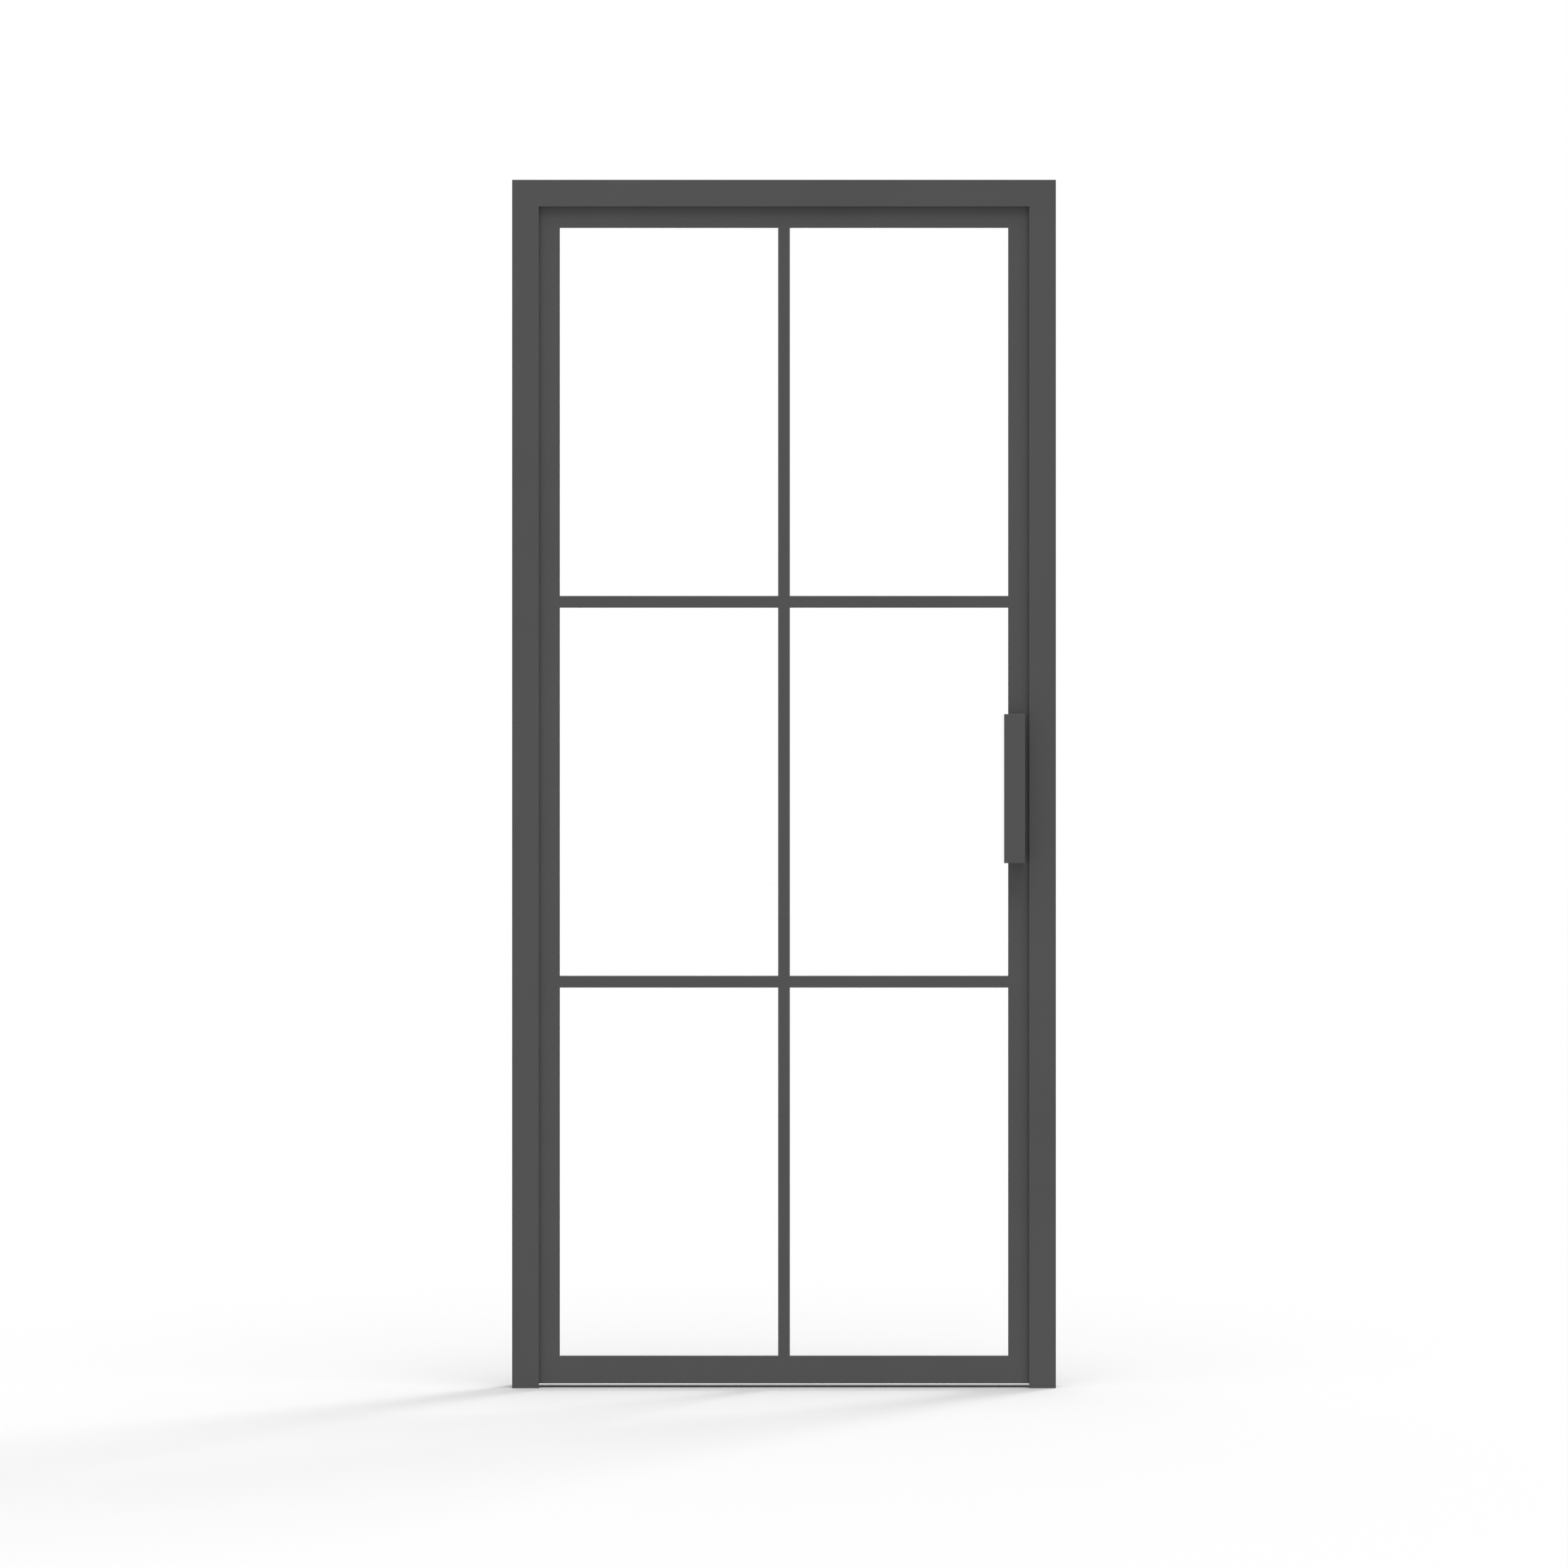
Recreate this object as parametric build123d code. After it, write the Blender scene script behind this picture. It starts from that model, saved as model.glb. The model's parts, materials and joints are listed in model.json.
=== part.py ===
from build123d import *
import os

# A glazed steel door leaf in its own three-sided steel frame, closed.
# X runs along the width, with the hinges at -X and the closing edge at +X. The leaf opens towards +Y.
# The origin is on the floor, in the middle of the width and of the leaf's thickness. All sizes in mm.

# Frame and the fit of the leaf in it
frame_width = 945
frame_height = 2100
frame_face = 46.5
stop_cover = 12
edge_gap = 4
floor_gap = 7.5
seal_space = 4

# Frame members: a box tube with a flat stop plate welded along its front
frame_wall = 2
stop_thickness = 4
stop_edge_radius = 0.4

# Leaf members: a rolled hollow profile, whose flange is the sheet folded double
leaf_wall = 1.5
leaf_thickness = 40
leaf_face = 48
leaf_tube = 30
tube_radius = 1.5

# T bars between the panes
bar_face = 20.5
bar_web = 4

# Glazing
glass_thickness = 6.4
glass_edge_clearance = 3
tape_thickness = 2
tape_setback = 1.5
gasket_thickness = 2
gasket_setback = 1
bead_width = 12
bar_bead_width = 6
bead_wall = 1.5
bead_setback = 1
block_length = 60
block_place_shares = (0.25, 0.75)

# Stop seals and catch magnets
seal_width = 6
seal_inset = 1.5
seal_clearance = 0.3
seal_crown_share = 0.3
magnet_width = 4
magnet_length = 50
magnet_spacing = 120
magnet_gap = 0.3

# Fixings through the jambs into the wall
fixing_count = 4
fixing_end = 150
fixing_radius = 3.5
fixing_access_radius = 6.5

# Barrel hinges
barrel_radius = 8
barrel_clearance = 0.3
barrel_end_chamfer = 1
knuckle_length = 42
knuckle_end_wall = 4
pin_radius = 4.5
pin_clearance = 0.05
pin_end_play = 1
washer_thickness = 2
washer_play = 0.1
wing_thickness = 3
wing_reach = 30
wing_corner_radius = 4
hinge_end_distance = 225

# Grips
grip_height = 1042
grip_length = 258
front_grip_width = 36
rear_grip_width = 28
grip_projection = 42
grip_plate = 5
grip_leg = 8
grip_edge_radius = 0.6
grip_inner_radius = 3
rod_radius = 2
rod_clearance = 0.05
rod_spacing = 190
rod_grip_depth = 14
spacer_width = 6.6
spacer_clearance = 0.2

# Every cut runs past the faces that it opens
overrun = 1

# Planes and places worked out from the sizes above
flange_thickness = 2 * leaf_wall
leaf_front = -leaf_thickness / 2
leaf_back = leaf_thickness / 2
stop_back = leaf_front - seal_space
frame_front = stop_back - stop_thickness
frame_tube = frame_face - stop_cover - edge_gap
jamb_place = frame_width / 2
leaf_edge = jamb_place - frame_face + stop_cover
leaf_top = frame_height - frame_face + stop_cover
leaf_bottom = floor_gap
glass_front = leaf_front + flange_thickness + tape_thickness
glass_back = glass_front + glass_thickness
bead_front = glass_back + gasket_thickness
bead_back = leaf_back - bead_setback
hinge_axis_x = -(leaf_edge + edge_gap / 2)
hinge_axis_y = leaf_back + barrel_clearance + barrel_radius
hinge_length = 2 * knuckle_length + washer_thickness

column_names = ("left", "right")
row_names = ("lower", "middle", "upper")
hinge_names = ("lower", "middle", "upper")

parts = {}


def block(low, high):
    """A box between two opposite corners."""
    size = Vector(*high) - Vector(*low)
    corner = (Align.MIN, Align.MIN, Align.MIN)
    return Pos(*low) * Box(size.X, size.Y, size.Z, align=corner)


def rod(centre, direction, radius, length):
    """A round bar, or the drill for a hole, centred on a point."""
    return Plane(origin=centre, z_dir=direction) * Cylinder(radius, length)


# Frame and leaf members

# In a section u runs in from the outer edge and v along the depth.

def frame_tube_section():
    """A box tube from the back of the stop to the back of the leaf."""
    depth = leaf_back - stop_back
    outline = RectangleRounded(frame_tube, depth, tube_radius)
    hollow = Rectangle(frame_tube - 2 * frame_wall, depth - 2 * frame_wall)
    return Pos(frame_tube / 2, stop_back + depth / 2) * (outline - hollow)


def stop_section():
    """The flat plate on the front of the tube, with its front edges eased."""
    outline = Pos(frame_face / 2, frame_front + stop_thickness / 2) * Rectangle(frame_face, stop_thickness)
    return fillet(outline.vertices().group_by(Axis.Y)[0], stop_edge_radius)


def leaf_section():
    """A tube with a doubled flange along its front."""
    outline = make_face(Polyline(
        (0, leaf_front), (leaf_face, leaf_front), (leaf_face, leaf_front + flange_thickness),
        (leaf_tube, leaf_front + flange_thickness), (leaf_tube, leaf_back), (0, leaf_back), close=True))
    tube_corners = [corner for corner in outline.vertices()
                    if corner.X < leaf_tube / 2 or corner.Y > leaf_front + flange_thickness + leaf_wall]
    outline = fillet(tube_corners, tube_radius)
    hollow = Pos(leaf_tube / 2, 0) * Rectangle(leaf_tube - 2 * leaf_wall, leaf_thickness - 2 * leaf_wall)
    return outline - hollow


def side_of_ring(section, start, end, inward, start_mitre, end_mitre):
    """Run a section along one side of a rectangular ring, clockwise from the front, with mitred ends."""
    start, end, inward = Vector(*start), Vector(*end), Vector(*inward)
    along = inward.cross(Vector(0, 1, 0))
    bar = extrude(Plane(origin=start, x_dir=inward, z_dir=along) * section, amount=(end - start).length)
    if start_mitre:
        bar = split(bar, bisect_by=Plane(origin=start, z_dir=along - inward), keep=Keep.TOP)
    if end_mitre:
        bar = split(bar, bisect_by=Plane(origin=end, z_dir=-along - inward), keep=Keep.TOP)
    return bar


def frame_ring(section):
    """The hinge jamb, head and lock jamb side of a section; the jambs stand on the floor."""
    foot_left, top_left = (-jamb_place, 0, 0), (-jamb_place, 0, frame_height)
    foot_right, top_right = (jamb_place, 0, 0), (jamb_place, 0, frame_height)
    return (
        side_of_ring(section, foot_left, top_left, (1, 0, 0), False, True),
        side_of_ring(section, top_left, top_right, (0, 0, -1), True, True),
        side_of_ring(section, top_right, foot_right, (-1, 0, 0), True, False))


def leaf_ring(section):
    """The hinge stile, top rail, lock stile and bottom rail of a section."""
    corners = [(-leaf_edge, 0, leaf_bottom), (-leaf_edge, 0, leaf_top),
               (leaf_edge, 0, leaf_top), (leaf_edge, 0, leaf_bottom)]
    inwards = [(1, 0, 0), (0, 0, -1), (-1, 0, 0), (0, 0, 1)]
    ends = corners[1:] + corners[:1]
    return [side_of_ring(section, start, end, inward, True, True)
            for start, end, inward in zip(corners, ends, inwards)]


# Frame: jambs and head, with holes for the fixings, and the stop plates on their front
hinge_jamb, frame_head, lock_jamb = frame_ring(frame_tube_section())
parts["hinge_jamb_stop"], parts["head_stop"], parts["lock_jamb_stop"] = frame_ring(stop_section())

fixing_depth = (stop_back + leaf_back) / 2
fixing_step = (frame_height - 2 * fixing_end) / (fixing_count - 1)


def fixing_holes(side):
    """Screw holes in a jamb's outer wall, and wider ones for the driver in the wall beside the leaf."""
    holes = []
    for number in range(fixing_count):
        height = fixing_end + number * fixing_step
        outer = (side * (jamb_place - frame_wall / 2), fixing_depth, height)
        inner = (side * (jamb_place - frame_tube + frame_wall / 2), fixing_depth, height)
        holes.append(rod(outer, (1, 0, 0), fixing_radius, frame_wall + 2 * overrun))
        holes.append(rod(inner, (1, 0, 0), fixing_access_radius, frame_wall + 2 * overrun))
    return holes


for hole in fixing_holes(-1):
    hinge_jamb -= hole
for hole in fixing_holes(1):
    lock_jamb -= hole
parts["hinge_jamb"] = hinge_jamb
parts["lock_jamb"] = lock_jamb
parts["frame_head"] = frame_head

# Seals on the back of the stop, rounded where the leaf meets them
seal_thickness = seal_space - seal_clearance
seal_tip = frame_face - seal_inset
seal_middle = Pos(seal_tip - seal_width / 2, stop_back + seal_thickness / 2)
seal_outline = seal_middle * Rectangle(seal_width, seal_thickness)
seal_crown = seal_outline.vertices().group_by(Axis.Y)[-1]
seal_section = fillet(seal_crown, seal_crown_share * min(seal_thickness, seal_width))
parts["hinge_jamb_seal"], parts["head_seal"], parts["lock_jamb_seal"] = frame_ring(seal_section)

# Magnets beside the closing seal, which hold the steel leaf shut
magnet_end = jamb_place - seal_tip + seal_width + magnet_gap
parts["catch_magnets"] = Compound([
    block((magnet_end, stop_back, grip_height + step * magnet_spacing / 2 - magnet_length / 2),
          (magnet_end + magnet_width, stop_back + seal_thickness,
           grip_height + step * magnet_spacing / 2 + magnet_length / 2))
    for step in (-1, 1)])

# Leaf: stiles and rails
hinge_stile, top_rail, lock_stile, bottom_rail = leaf_ring(leaf_section())

# Tie rods join the two grips through the lock stile, each in a square spacer between the stile's walls
rod_place = leaf_edge - leaf_tube + leaf_wall + spacer_clearance + spacer_width / 2
rod_heights = (grip_height - rod_spacing / 2, grip_height + rod_spacing / 2)
rod_length = leaf_thickness + 2 * rod_grip_depth
spacer_length = leaf_thickness - 2 * leaf_wall
tie_rods = []
rod_spacers = []
for height in rod_heights:
    middle = (rod_place, 0, height)
    drill = rod(middle, (0, 1, 0), rod_radius + rod_clearance, rod_length + overrun)
    lock_stile -= drill
    tie_rods.append(rod(middle, (0, 1, 0), rod_radius, rod_length))
    rod_spacers.append(Pos(*middle) * Box(spacer_width, spacer_length, spacer_width) - drill)
parts["hinge_stile"] = hinge_stile
parts["lock_stile"] = lock_stile
parts["top_rail"] = top_rail
parts["bottom_rail"] = bottom_rail
parts["grip_tie_rods"] = Compound(tie_rods)
parts["grip_spacers"] = Compound(rod_spacers)


def grip(side, width):
    """An angle-shaped grip, its leg standing on the lock stile; side -1 is the front and 1 the rear."""
    right = rod_place + grip_leg / 2
    left = right - width
    face = side * leaf_back
    plate_back = side * (leaf_back + grip_projection - grip_plate)
    plate_front = side * (leaf_back + grip_projection)
    outline = make_face(Polyline(
        (right, face), (right, plate_front), (left, plate_front),
        (left, plate_back), (right - grip_leg, plate_back), (right - grip_leg, face), close=True))
    inner_corner = outline.vertices().sort_by_distance((right - grip_leg, plate_back))[0]
    outline = fillet(inner_corner, grip_inner_radius)
    body = Pos(0, 0, grip_height - grip_length / 2) * extrude(outline, amount=grip_length)
    show_face = body.faces().sort_by(Axis.Y)[-1 if side > 0 else 0]
    body = fillet(show_face.edges(), grip_edge_radius)
    for height in rod_heights:
        body -= rod((rod_place, 0, height), (0, 1, 0), rod_radius + rod_clearance, rod_length)
    return body


parts["front_grip"] = grip(-1, front_grip_width)
parts["rear_grip"] = grip(1, rear_grip_width)

# T bars: the vertical one runs from rail to rail, and the horizontal ones are halved over it
flange_edge = leaf_edge - leaf_face
tube_edge = leaf_edge - leaf_tube
flange_low, flange_high = leaf_bottom + leaf_face, leaf_top - leaf_face
tube_low, tube_high = leaf_bottom + leaf_tube, leaf_top - leaf_tube
pane_height = (flange_high - flange_low - (len(row_names) - 1) * bar_face) / len(row_names)
lowest_bar = flange_low + pane_height + bar_face / 2
bar_heights = [lowest_bar + row * (pane_height + bar_face) for row in range(len(row_names) - 1)]
web_front = leaf_front + flange_thickness
web_middle = (web_front + leaf_back) / 2


def t_bar(plane, flange_length, web_length):
    """A T bar along a plane's normal: its flange ends at the flanges round it, its web at their tubes."""
    flange = Pos(0, (leaf_front + web_front) / 2) * Rectangle(bar_face, flange_thickness)
    web = Pos(0, web_middle) * Rectangle(bar_web, leaf_back - web_front)
    return (extrude(plane * flange, amount=flange_length / 2, both=True)
            + extrude(plane * web, amount=web_length / 2, both=True))


upright = Plane(origin=(0, 0, (flange_low + flange_high) / 2), x_dir=(1, 0, 0), z_dir=(0, 0, 1))
vertical_bar = t_bar(upright, flange_high - flange_low, tube_high - tube_low)
for name, height in zip(("lower_bar", "upper_bar"), bar_heights):
    across = Plane(origin=(0, 0, height), x_dir=(0, 0, -1), z_dir=(1, 0, 0))
    half_lap = block((-bar_web / 2, web_middle, height - bar_web / 2 - overrun),
                     (bar_web / 2, leaf_back + overrun, height + bar_web / 2 + overrun))
    parts[name] = t_bar(across, 2 * flange_edge, 2 * tube_edge) - half_lap
    vertical_bar -= parts[name]
parts["vertical_bar"] = vertical_bar


# Glazing: each pane lies between the tubes or webs round it

def cell_sides(column, row):
    """Walls round a pane, then the flange edges in front of it, then its beads, each left right low high."""
    inner = bar_web / 2
    walls = [-tube_edge, -inner] if column == "left" else [inner, tube_edge]
    flanges = [leaf_face - leaf_tube, (bar_face - bar_web) / 2]
    beads = [bead_width, bar_bead_width]
    if column == "right":
        flanges.reverse()
        beads.reverse()
    number = row_names.index(row)
    if number == 0:
        walls.append(tube_low)
        flanges.append(leaf_face - leaf_tube)
        beads.append(bead_width)
    else:
        walls.append(bar_heights[number - 1] + inner)
        flanges.append((bar_face - bar_web) / 2)
        beads.append(bar_bead_width)
    if number == len(row_names) - 1:
        walls.append(tube_high)
        flanges.append(leaf_face - leaf_tube)
        beads.append(bead_width)
    else:
        walls.append(bar_heights[number] - inner)
        flanges.append((bar_face - bar_web) / 2)
        beads.append(bar_bead_width)
    return walls, flanges, beads


def strips_round(walls, start, widths, front, back):
    """Four strips round a pane: the low and high ones run through, the side ones fit between them."""
    left, right, low, high = walls
    left_end, right_end, low_end, high_end = widths
    return [
        block((left + start, front, low + start), (right - start, back, low + low_end)),
        block((left + start, front, high - high_end), (right - start, back, high - start)),
        block((left + start, front, low + low_end), (left + left_end, back, high - high_end)),
        block((right - right_end, front, low + low_end), (right - start, back, high - high_end))]


def hollow_bead(solid, axis):
    """Open a bead's ends by a hollow along its length."""
    box = solid.bounding_box()
    length = (box.size.X, box.size.Y, box.size.Z)
    hollow = [size - 2 * bead_wall for size in length]
    hollow[axis] = length[axis] + 2 * overrun
    return solid - Pos(*box.center()) * Box(*hollow)


setting_blocks = []
for column in column_names:
    for row in row_names:
        walls, flanges, beads = cell_sides(column, row)
        left, right, low, high = walls
        gap = glass_edge_clearance
        pane = block((left + gap, glass_front, low + gap), (right - gap, glass_back, high - gap))
        tapes = strips_round(walls, gap, [edge - tape_setback for edge in flanges],
                             leaf_front + flange_thickness, glass_front)
        gaskets = strips_round(walls, gap, [edge - gasket_setback for edge in beads], glass_back, bead_front)
        bead_solids = strips_round(walls, 0, beads, bead_front, bead_back)
        bead_axes = (0, 0, 2, 2)
        bead_solids = [hollow_bead(solid, axis) for solid, axis in zip(bead_solids, bead_axes)]
        cell = f"{row}_{column}"
        parts[f"pane_{cell}"] = pane
        parts[f"front_tape_{cell}"] = Compound(tapes)
        parts[f"rear_gasket_{cell}"] = Compound(gaskets)
        parts[f"glazing_beads_{cell}"] = Compound(bead_solids)
        for share in block_place_shares:
            middle = left + share * (right - left)
            setting_blocks.append(block((middle - block_length / 2, glass_front, low),
                                        (middle + block_length / 2, glass_back, low + gap)))
parts["setting_blocks"] = Compound(setting_blocks)


# Hinges: the frame half has the lower knuckle and holds the pin, the leaf half turns on it

def hinge_half(side, height):
    """A wing welded to the back of the jamb (side -1) or stile (side 1), with its knuckle on the axis."""
    relief = barrel_radius + barrel_clearance
    inner_end = washer_thickness / 2 + (washer_play if side > 0 else 0)
    outer_end = hinge_length / 2
    outline = make_face(Polyline(
        (side * wing_reach, -side * outer_end), (side * wing_reach, side * outer_end),
        (0, side * outer_end), (0, side * inner_end),
        (side * relief, side * inner_end), (side * relief, -side * outer_end), close=True))
    far_corners = [corner for corner in outline.vertices() if abs(corner.X) > wing_reach / 2]
    outline = fillet(far_corners, wing_corner_radius)
    face = Plane(origin=(hinge_axis_x, leaf_back, height), x_dir=(1, 0, 0), z_dir=(0, -1, 0))
    wing = extrude(face * outline, amount=-wing_thickness)
    knuckle = Cylinder(barrel_radius, outer_end - inner_end)
    rim = knuckle.edges().filter_by(GeomType.CIRCLE).sort_by(Axis.Z)[-1 if side > 0 else 0]
    knuckle = chamfer(rim, barrel_end_chamfer)
    bore_length = outer_end - inner_end - knuckle_end_wall
    bore = Pos(0, 0, -side * knuckle_end_wall / 2) * Cylinder(pin_radius + pin_clearance, bore_length)
    middle = Pos(hinge_axis_x, hinge_axis_y, height + side * (inner_end + outer_end) / 2)
    return wing + middle * knuckle - middle * bore


lowest_hinge = leaf_bottom + hinge_end_distance
highest_hinge = leaf_top - hinge_end_distance
hinge_heights = (lowest_hinge, (lowest_hinge + highest_hinge) / 2, highest_hinge)
pin = Cylinder(pin_radius, hinge_length - 2 * knuckle_end_wall - pin_end_play)
washer = Cylinder(barrel_radius, washer_thickness) - Cylinder(pin_radius + pin_clearance, washer_thickness)
pins = []
washers = []
for name, height in zip(hinge_names, hinge_heights):
    parts[f"{name}_hinge_frame_half"] = hinge_half(-1, height)
    parts[f"{name}_hinge_leaf_half"] = hinge_half(1, height)
    pins.append(Pos(hinge_axis_x, hinge_axis_y, height - pin_end_play / 2) * pin)
    washers.append(Pos(hinge_axis_x, hinge_axis_y, height) * washer)
parts["hinge_pins"] = Compound(pins)
parts["hinge_washers"] = Compound(washers)

os.makedirs("parts", exist_ok=True)
for name, part in parts.items():
    export_step(part, f"parts/{name}.step")
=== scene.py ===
import json
import math

import bmesh
import bpy
from mathutils import Matrix, Vector


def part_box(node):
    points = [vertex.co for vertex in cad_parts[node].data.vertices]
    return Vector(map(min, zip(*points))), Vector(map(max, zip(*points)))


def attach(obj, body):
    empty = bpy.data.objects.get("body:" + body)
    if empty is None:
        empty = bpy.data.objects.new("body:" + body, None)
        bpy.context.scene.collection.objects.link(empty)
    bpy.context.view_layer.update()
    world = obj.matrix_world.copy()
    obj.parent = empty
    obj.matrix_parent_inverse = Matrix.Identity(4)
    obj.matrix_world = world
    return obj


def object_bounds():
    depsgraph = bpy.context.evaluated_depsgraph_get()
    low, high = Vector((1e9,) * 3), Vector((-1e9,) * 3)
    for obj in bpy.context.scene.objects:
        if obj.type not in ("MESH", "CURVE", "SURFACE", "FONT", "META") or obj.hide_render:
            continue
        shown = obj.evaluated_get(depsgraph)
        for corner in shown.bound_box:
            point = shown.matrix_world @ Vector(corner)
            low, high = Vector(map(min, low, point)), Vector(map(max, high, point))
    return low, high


# A glazed steel door in its frame, in a white studio. Lengths are in metres, as in the frame.

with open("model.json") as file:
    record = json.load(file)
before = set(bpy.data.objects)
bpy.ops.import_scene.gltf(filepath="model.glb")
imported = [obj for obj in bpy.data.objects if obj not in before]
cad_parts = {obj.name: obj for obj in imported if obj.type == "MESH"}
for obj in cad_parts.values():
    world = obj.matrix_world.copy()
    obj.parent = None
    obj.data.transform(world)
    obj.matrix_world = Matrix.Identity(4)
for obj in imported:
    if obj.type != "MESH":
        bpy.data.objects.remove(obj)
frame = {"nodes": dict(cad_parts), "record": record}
cad_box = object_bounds()

scene = bpy.context.scene
scene.view_settings.view_transform = "Standard"

row_names = ("lower", "middle", "upper")
column_names = ("left", "right")
cell_names = [f"{row}_{column}" for column in column_names for row in row_names]

# View: level, centred on the frame; the sensor's width is in millimetres
picture_width = 2.7246
camera_distance = 7.95
sensor_width = 36

# Light
sky_strength = 0.25
overhead_strength = 2.52
overhead_elevation = math.radians(77)
overhead_azimuth = math.radians(10)
overhead_spread = math.radians(52)
rear_strength = 1.2
rear_elevation = math.radians(45)
rear_azimuth = math.radians(136)
rear_spread = math.radians(16.5)
fill_strength = 1.4
fill_elevation = math.radians(51)
fill_azimuth = math.radians(139)
fill_spread = math.radians(108)
floor_reach = 40
floor_white = 0.607
floor_glow = 0.51

# Noise: scales are per metre, details are octaves, and the shares bound the part that is stretched
soft_detail = 2
fine_detail = 3
rich_detail = 4
noise_low_share = 0.3
noise_high_share = 0.7

# Powder coat
coat_shade = 0.107
coat_shade_shares = (0.96, 1.04)
coat_shade_scale = 3.5
coat_roughness = (0.5, 0.6)
coat_roughness_scale = 11
coat_specular = 0.3
peel_scale = 260
peel_depth = 0.00012
grain_scale = 1500
grain_depth = 0.00006

# Rubber and plastic
rubber_shade_shares = (0.8, 1.5)
rubber_shade_scale = 30
rubber_roughness_scale = 60
skin_depth = 0.0001

# Plated metal: the shares are of its crystals' scale
metal_roughness_share = 0.25
scratch_share = 3
scratch_depth = 0.00003

# Glass
glass_index = 1.5
glass_passes = 0.95
glass_roughness = (0, 0.02)
glass_roughness_scale = 6

# Welds that only the visual model has
weld_leg = 0.0024
weld_embed = 0.0003
weld_end_gap = 0.0045
weld_length = 0.0165
weld_ripple = 0.0013
weld_ripple_share = 0.16
weld_lean_share = 0.5
weld_end_power = 6
weld_arc_points = 7
weld_rings_per_ripple = 5

# Screws that only the visual model has, in beads of two widths
screw_radius = 0.0026
screw_dome = 0.0006
screw_dome_steps = 4
screw_recess_radius = 0.0012
screw_recess_depth = 0.0009
screw_rim_share = 1.15
screw_embed = 0.0003
screw_sides = 24
screw_recess_sides = 6
screw_end_distance = 0.06
screw_side_count = 3
screw_level_count = 2
bead_width = 0.012
bar_bead_width = 0.006


# Node trees

class Shader:
    """The node tree of a material or a world, with short calls to add nodes and join them."""

    def __init__(self, owner, output="ShaderNodeOutputMaterial"):
        self.owner = owner
        self.owner.use_nodes = True
        self.tree = self.owner.node_tree
        self.tree.nodes.clear()
        self.output = self.add(output)

    def add(self, kind, settings=None, **inputs):
        """A node; inputs are socket names with underscores for spaces, each a value or another socket."""
        node = self.tree.nodes.new(kind)
        for key, value in (settings or {}).items():
            setattr(node, key, value)
        for key, value in inputs.items():
            self.set(node.inputs[key.replace("_", " ")], value)
        return node

    def set(self, socket, value):
        """Link a socket to another, or give it a value."""
        if isinstance(value, bpy.types.NodeSocket):
            self.tree.links.new(value, socket)
        else:
            socket.default_value = value

    def place(self):
        """Coordinates in metres that stay on the piece when it moves."""
        return self.add("ShaderNodeTexCoord").outputs["Object"]

    def noise(self, scale, detail, place):
        return self.add("ShaderNodeTexNoise", Vector=place, Scale=scale, Detail=detail).outputs["Fac"]

    def between(self, fac, low, high):
        """Stretch the middle of a noise over a range of values."""
        node = self.add("ShaderNodeMapRange", Value=fac, From_Min=noise_low_share, From_Max=noise_high_share,
                        To_Min=low, To_Max=high)
        return node.outputs["Result"]

    def shades(self, fac, low, high):
        """Stretch the middle of a noise between two colours."""
        ramp = self.add("ShaderNodeValToRGB", Fac=fac)
        stops = ((noise_low_share, low), (noise_high_share, high))
        for element, (share, colour) in zip(ramp.color_ramp.elements, stops):
            element.position = share
            element.color = (*colour, 1)
        return ramp.outputs["Color"]

    def bump(self, height, depth, normal=None):
        """A bump, on top of another where one is given."""
        node = self.add("ShaderNodeBump", Height=height, Distance=depth)
        if normal is not None:
            self.set(node.inputs["Normal"], normal)
        return node.outputs["Normal"]

    def mix(self, fac, first, second):
        """The first surface where the factor is 0, and the second where it is 1."""
        node = self.add("ShaderNodeMixShader", Fac=fac)
        self.set(node.inputs[1], first)
        self.set(node.inputs[2], second)
        return node.outputs["Shader"]

    def looked_at(self):
        """1 for what is seen, also in a reflection or through glass, and 0 for the light that it throws."""
        path = self.add("ShaderNodeLightPath").outputs
        seen = path["Is Camera Ray"]
        for ray in ("Is Glossy Ray", "Is Transmission Ray"):
            either = self.add("ShaderNodeMath", {"operation": "MAXIMUM"})
            self.set(either.inputs[0], seen)
            self.set(either.inputs[1], path[ray])
            seen = either.outputs["Value"]
        return seen

    def finish(self, surface):
        self.tree.links.new(surface, self.output.inputs["Surface"])
        return self.owner


def material_shader(name):
    return Shader(bpy.data.materials.new(name))


def grey(value):
    return (value, value, value)


# Finishes

def powder_coat(name):
    """Matt powder coat: a fine grain on a soft orange peel, with slow changes of sheen."""
    shader = material_shader(name)
    place = shader.place()
    low, high = [grey(coat_shade * share) for share in coat_shade_shares]
    colour = shader.shades(shader.noise(coat_shade_scale, fine_detail, place), low, high)
    roughness = shader.between(shader.noise(coat_roughness_scale, rich_detail, place), *coat_roughness)
    peel = shader.bump(shader.noise(peel_scale, soft_detail, place), peel_depth)
    grain = shader.bump(shader.noise(grain_scale, fine_detail, place), grain_depth, peel)
    surface = shader.add("ShaderNodeBsdfPrincipled", Base_Color=colour, Roughness=roughness, Normal=grain,
                         Specular_IOR_Level=coat_specular)
    return shader.finish(surface.outputs["BSDF"])


def rubber(name, shade=0.018, roughness_range=(0.55, 0.75), skin_scale=700):
    """Black extruded rubber, foam or plastic: matt, with a fine skin and a faint bloom."""
    shader = material_shader(name)
    place = shader.place()
    low, high = [grey(shade * share) for share in rubber_shade_shares]
    colour = shader.shades(shader.noise(rubber_shade_scale, rich_detail, place), low, high)
    roughness = shader.between(shader.noise(rubber_roughness_scale, fine_detail, place), *roughness_range)
    skin = shader.bump(shader.noise(skin_scale, fine_detail, place), skin_depth)
    surface = shader.add("ShaderNodeBsdfPrincipled", Base_Color=colour, Roughness=roughness, Normal=skin)
    return shader.finish(surface.outputs["BSDF"])


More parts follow.
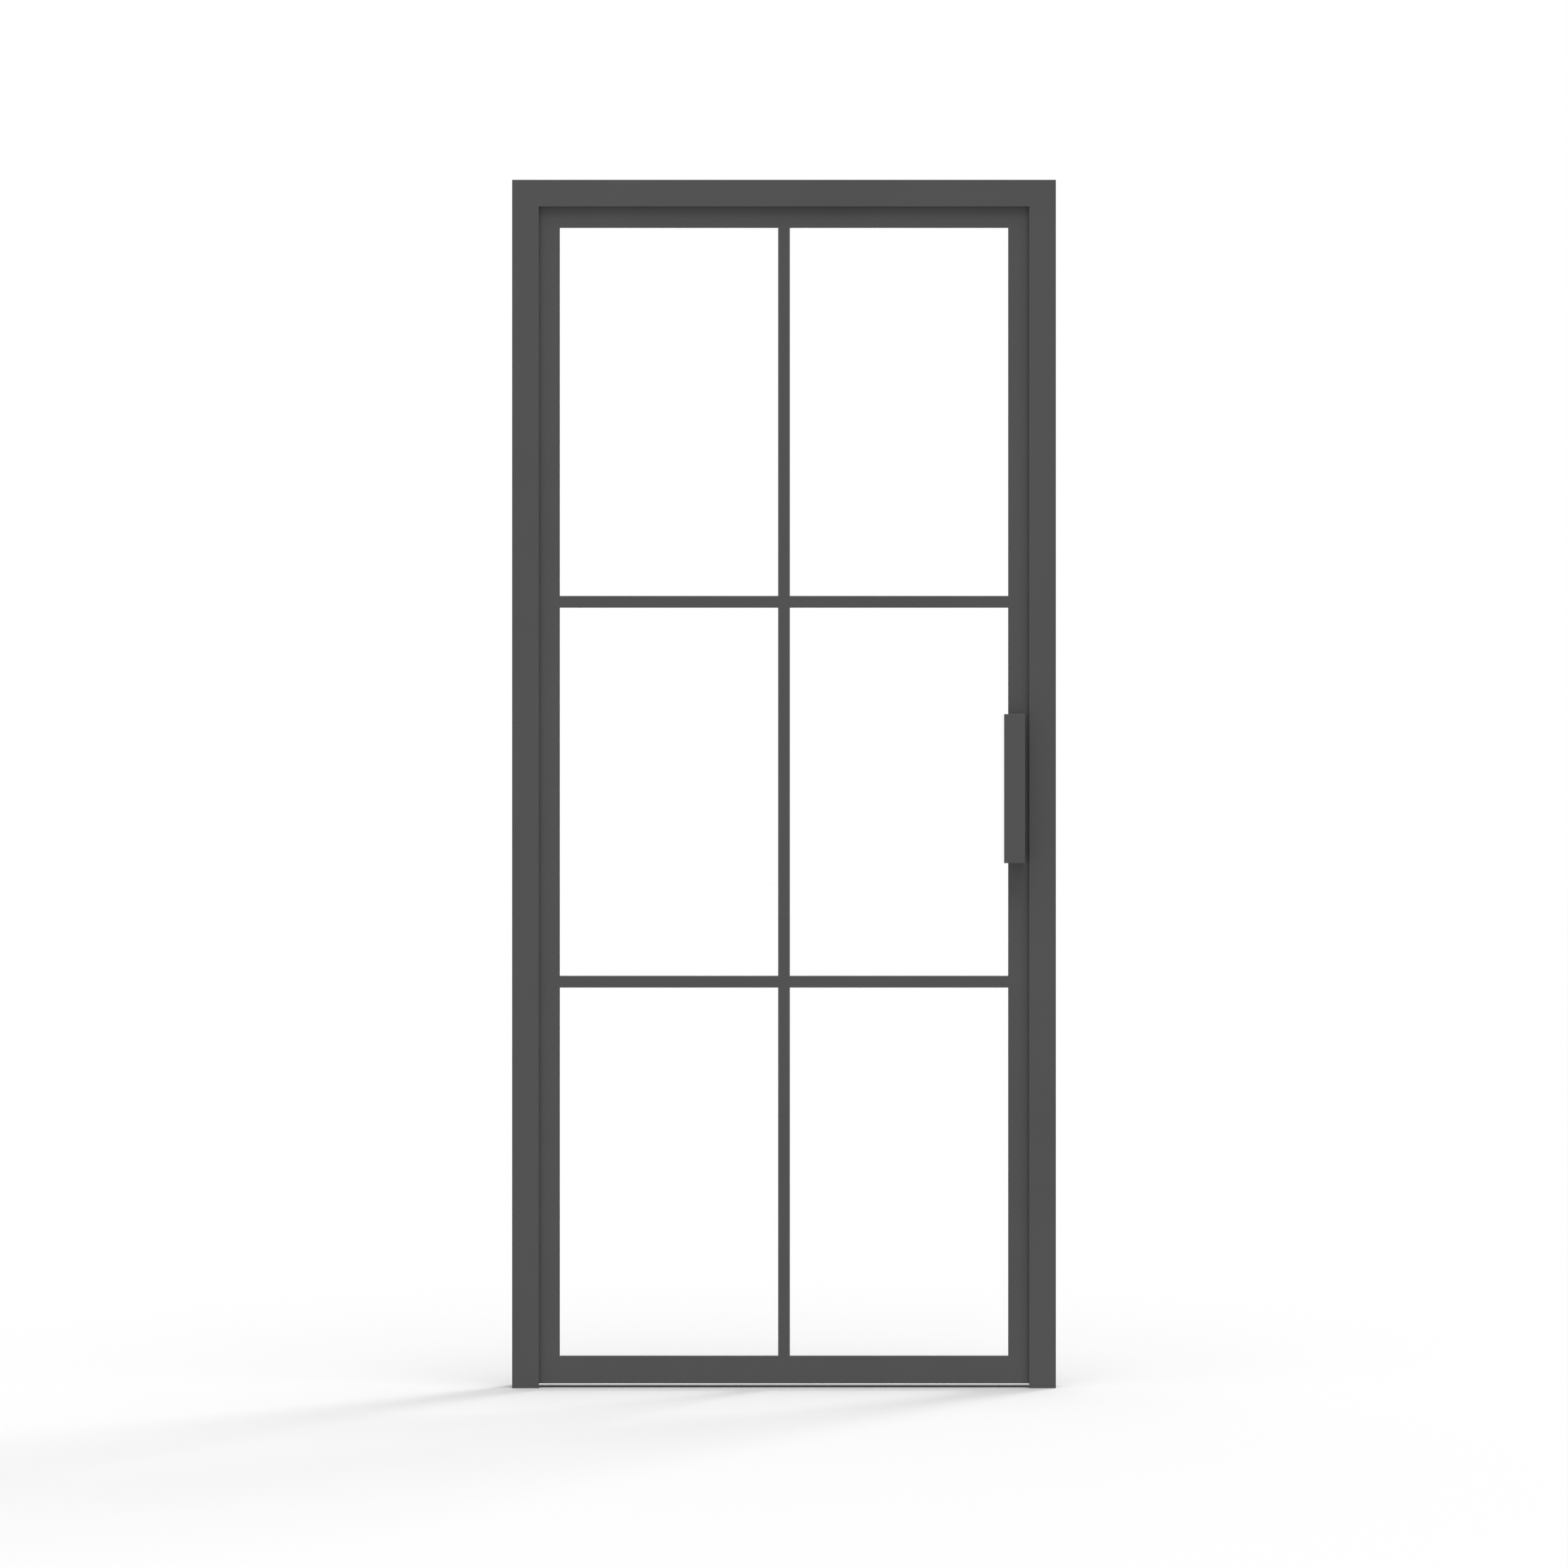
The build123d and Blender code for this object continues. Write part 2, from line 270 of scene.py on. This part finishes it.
def plated_metal(name, low, high, roughness_range, crystal_scale):
    """Plated or turned metal: small crystals of slightly different shade, with fine scratches."""
    shader = material_shader(name)
    place = shader.place()
    crystals = shader.add("ShaderNodeTexVoronoi", Vector=place, Scale=crystal_scale).outputs["Color"]
    tone = shader.add("ShaderNodeSeparateColor", Color=crystals).outputs["Red"]
    colour = shader.shades(tone, low, high)
    cloud = shader.noise(crystal_scale * metal_roughness_share, rich_detail, place)
    roughness = shader.between(cloud, *roughness_range)
    scratches = shader.bump(shader.noise(crystal_scale * scratch_share, soft_detail, place), scratch_depth)
    surface = shader.add("ShaderNodeBsdfPrincipled", Base_Color=colour, Roughness=roughness,
                         Normal=scratches, Metallic=1)
    return shader.finish(surface.outputs["BSDF"])


def clear_glass(name):
    """Clear float glass with the faintest uneven polish; lamps shine through it."""
    shader = material_shader(name)
    polish = shader.noise(glass_roughness_scale, fine_detail, shader.place())
    pane = shader.add("ShaderNodeBsdfPrincipled", Base_Color=(*grey(1), 1), Transmission_Weight=1,
                      Roughness=shader.between(polish, *glass_roughness), IOR=glass_index)
    clear = shader.add("ShaderNodeBsdfTransparent", Color=(*grey(glass_passes), 1))
    path = shader.add("ShaderNodeLightPath").outputs
    surface = pane.outputs["BSDF"]
    for ray in ("Is Diffuse Ray", "Is Shadow Ray"):
        surface = shader.mix(path[ray], surface, clear.outputs["BSDF"])
    return shader.finish(surface)


zinc = {"low": (0.5, 0.5, 0.51), "high": (0.62, 0.62, 0.62)}
nickel = {"low": (0.55, 0.53, 0.5), "high": (0.66, 0.64, 0.6)}
brass = {"low": (0.56, 0.4, 0.16), "high": (0.7, 0.52, 0.24)}
finishes = {
    "steel_paint": powder_coat("steel_paint"),
    "grip_paint": powder_coat("grip_paint"),
    "bead_paint": powder_coat("bead_paint"),
    "hinge_paint": powder_coat("hinge_paint"),
    "clear_glass": clear_glass("clear_glass"),
    "seal_rubber": rubber("seal_rubber"),
    "glazing_tape": rubber("glazing_tape", shade=0.022, roughness_range=(0.75, 0.9), skin_scale=1200),
    "glazing_rubber": rubber("glazing_rubber"),
    "block_plastic": rubber("block_plastic", shade=0.045, roughness_range=(0.35, 0.5), skin_scale=400),
    "bare_steel": plated_metal("bare_steel", **zinc, roughness_range=(0.28, 0.42), crystal_scale=900),
    "washer_brass": plated_metal("washer_brass", **brass, roughness_range=(0.25, 0.4), crystal_scale=2500),
    "magnet": plated_metal("magnet", **nickel, roughness_range=(0.18, 0.3), crystal_scale=1800),
}

for subpart in frame["record"]["subparts"]:
    mesh = frame["nodes"][subpart["node"]].data
    mesh.materials.clear()
    mesh.materials.append(finishes[subpart["material_slot"]])


# New pieces

def new_object(name, build, finish):
    """Make an object of a bmesh, with one material."""
    mesh = bpy.data.meshes.new(name)
    build.to_mesh(mesh)
    build.free()
    mesh.materials.append(finish)
    item = bpy.data.objects.new(name, mesh)
    scene.collection.objects.link(item)
    return item


def piece(name, build, body, slot):
    """Make an object of a closed bmesh, with a finish from a slot, riding on a body."""
    bmesh.ops.recalc_face_normals(build, faces=build.faces)
    item = new_object(name, build, finishes[slot])
    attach(item, body)


def skin_rings(build, rings):
    """Join rings of points by quads and close both ends."""
    loops = [[build.verts.new(point) for point in ring] for ring in rings]
    for ring, following in zip(loops, loops[1:]):
        for number in range(len(ring)):
            after = (number + 1) % len(ring)
            build.faces.new((ring[number], ring[after], following[after], following[number]))
    build.faces.new(loops[0])
    build.faces.new(loops[-1])


# Welds

def weld_run(build, start, surface, edge, outward):
    """A rippled fillet weld along X, in the corner between a surface facing +Y and an edge facing outward."""
    steps = round(weld_length / weld_ripple) * weld_rings_per_ripple
    rings = []
    for step in range(steps + 1):
        along = step / steps
        phase = (step % weld_rings_per_ripple) / weld_rings_per_ripple
        taper = math.sqrt(max(0, 1 - (2 * along - 1) ** weld_end_power))
        leg = weld_leg * (1 - weld_ripple_share * phase) * max(taper, weld_ripple_share)
        lean = weld_ripple * phase * weld_lean_share
        place = start + along * weld_length
        ring = [Vector((place, surface - weld_embed, edge - outward * weld_embed))]
        for number in range(weld_arc_points):
            turn = number / (weld_arc_points - 1) * math.pi / 2
            ring.append(Vector((place + lean * math.sin(2 * turn),
                                surface + leg * math.sin(turn),
                                edge + outward * leg * math.cos(turn))))
        rings.append(ring)
    skin_rings(build, rings)


def hinge_welds(row, half, body, wing_side):
    """Welds above and below a hinge's wing."""
    low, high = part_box(f"{row}_hinge_{half}")
    surface = low.y
    start = low.x + weld_end_gap if wing_side < 0 else high.x - weld_end_gap - weld_length
    build = bmesh.new()
    weld_run(build, start, surface, high.z, 1)
    weld_run(build, start, surface, low.z, -1)
    piece(f"{row}_hinge_{half}_welds", build, body, "hinge_paint")


for row in row_names:
    hinge_welds(row, "frame_half", "frame", -1)
    hinge_welds(row, "leaf_half", "leaf", 1)


# Screws

def screw_ring(stand, radius, height, sides):
    """A ring of points at a height: a polygon of that inner radius, or a circle with all the sides."""
    corner = math.pi / sides
    points = []
    for number in range(screw_sides):
        angle = 2 * math.pi * number / screw_sides
        reach = radius
        if sides < screw_sides:
            reach *= math.cos(corner) / math.cos(angle % (2 * corner) - corner)
        points.append(stand @ Vector((reach * math.cos(angle), reach * math.sin(angle), height)))
    return points


def screw_head(build, place, facing):
    """A raised countersunk head with a hexagonal recess, sunk into a face."""
    turn = Vector((0, 0, 1)).rotation_difference(facing).to_matrix().to_4x4()
    stand = Matrix.Translation(place) @ turn
    rings = [screw_ring(stand, screw_radius, height, screw_sides) for height in (-screw_embed, 0)]
    rim_radius = screw_recess_radius * screw_rim_share
    for step in range(1, screw_dome_steps + 1):
        share = step / screw_dome_steps
        radius = screw_radius + (rim_radius - screw_radius) * share
        rings.append(screw_ring(stand, radius, screw_dome * math.sin(share * math.pi / 2), screw_sides))
    for height in (screw_dome, screw_dome - screw_recess_depth):
        rings.append(screw_ring(stand, screw_recess_radius, height, screw_recess_sides))
    skin_rings(build, rings)


def spread(low, high, count):
    """Places between two ends, screw_end_distance in from each."""
    first, last = low + screw_end_distance, high - screw_end_distance
    return [first + (last - first) * number / (count - 1) for number in range(count)]


def bead_screws(cell):
    """Screws in the faces of a pane's four beads that look at the pane's opening."""
    row, column = cell.split("_")
    low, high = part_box(f"glazing_beads_{cell}")
    depth = (low.y + high.y) / 2
    left = low.x + (bead_width if column == column_names[0] else bar_bead_width)
    right = high.x - (bead_width if column == column_names[-1] else bar_bead_width)
    bottom = low.z + (bead_width if row == row_names[0] else bar_bead_width)
    top = high.z - (bead_width if row == row_names[-1] else bar_bead_width)
    build = bmesh.new()
    for height in spread(bottom, top, screw_side_count):
        screw_head(build, Vector((left, depth, height)), Vector((1, 0, 0)))
        screw_head(build, Vector((right, depth, height)), Vector((-1, 0, 0)))
    for place in spread(left, right, screw_level_count):
        screw_head(build, Vector((place, depth, bottom)), Vector((0, 0, 1)))
        screw_head(build, Vector((place, depth, top)), Vector((0, 0, -1)))
    piece(f"bead_screws_{cell}", build, "leaf", "bead_paint")


for cell in cell_names:
    bead_screws(cell)


# Stage

def floor_finish():
    """White to the eye and in reflections, with shadows; towards the door it throws an even soft light."""
    shader = material_shader("studio_floor")
    seen = shader.add("ShaderNodeBsdfDiffuse", Color=(*grey(floor_white), 1))
    thrown = shader.add("ShaderNodeEmission", Strength=floor_glow)
    surface = shader.mix(shader.looked_at(), thrown.outputs["Emission"], seen.outputs["BSDF"])
    return shader.finish(surface)


def studio_floor():
    """A level square under the door."""
    build = bmesh.new()
    corners = [(-1, -1), (1, -1), (1, 1), (-1, 1)]
    build.faces.new([build.verts.new((x * floor_reach, y * floor_reach, 0)) for x, y in corners])
    floor = new_object("studio_floor", build, floor_finish())


def studio_sky():
    """An even white sky: full white to the eye, in reflections and through glass, softer as a lamp."""
    shader = Shader(bpy.data.worlds.new("studio_sky"), "ShaderNodeOutputWorld")
    white = (*grey(1), 1)
    lit = shader.add("ShaderNodeBackground", Color=white, Strength=sky_strength)
    seen = shader.add("ShaderNodeBackground", Color=white)
    surface = shader.mix(shader.looked_at(), lit.outputs["Background"], seen.outputs["Background"])
    scene.world = shader.finish(surface)


def soft_sun(name, strength, elevation, azimuth, spread_angle):
    """A soft distant lamp; azimuth turns from straight in front of the door towards its right."""
    lamp = bpy.data.lights.new(name, "SUN")
    lamp.energy = strength
    lamp.angle = spread_angle
    item = bpy.data.objects.new(name, lamp)
    level = math.cos(elevation)
    towards = Vector((level * math.sin(azimuth), -level * math.cos(azimuth), math.sin(elevation)))
    item.rotation_euler = towards.to_track_quat("Z", "Y").to_euler()
    scene.collection.objects.link(item)


def photo_camera():
    """A level camera in front of the middle of the frame."""
    low, high = cad_box
    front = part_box("head_stop")[0].y
    lens = bpy.data.cameras.new("camera")
    lens.sensor_width = sensor_width
    lens.lens = sensor_width * camera_distance / picture_width
    item = bpy.data.objects.new("camera", lens)
    item.location = ((low[0] + high[0]) / 2, front - camera_distance, (low[2] + high[2]) / 2)
    item.rotation_euler = Vector((0, -1, 0)).to_track_quat("Z", "Y").to_euler()
    scene.collection.objects.link(item)
    scene.camera = item


studio_floor()
studio_sky()
soft_sun("overhead_lamp", overhead_strength, overhead_elevation, overhead_azimuth, overhead_spread)
soft_sun("rear_lamp", rear_strength, rear_elevation, rear_azimuth, rear_spread)
soft_sun("fill_lamp", fill_strength, fill_elevation, fill_azimuth, fill_spread)
photo_camera()
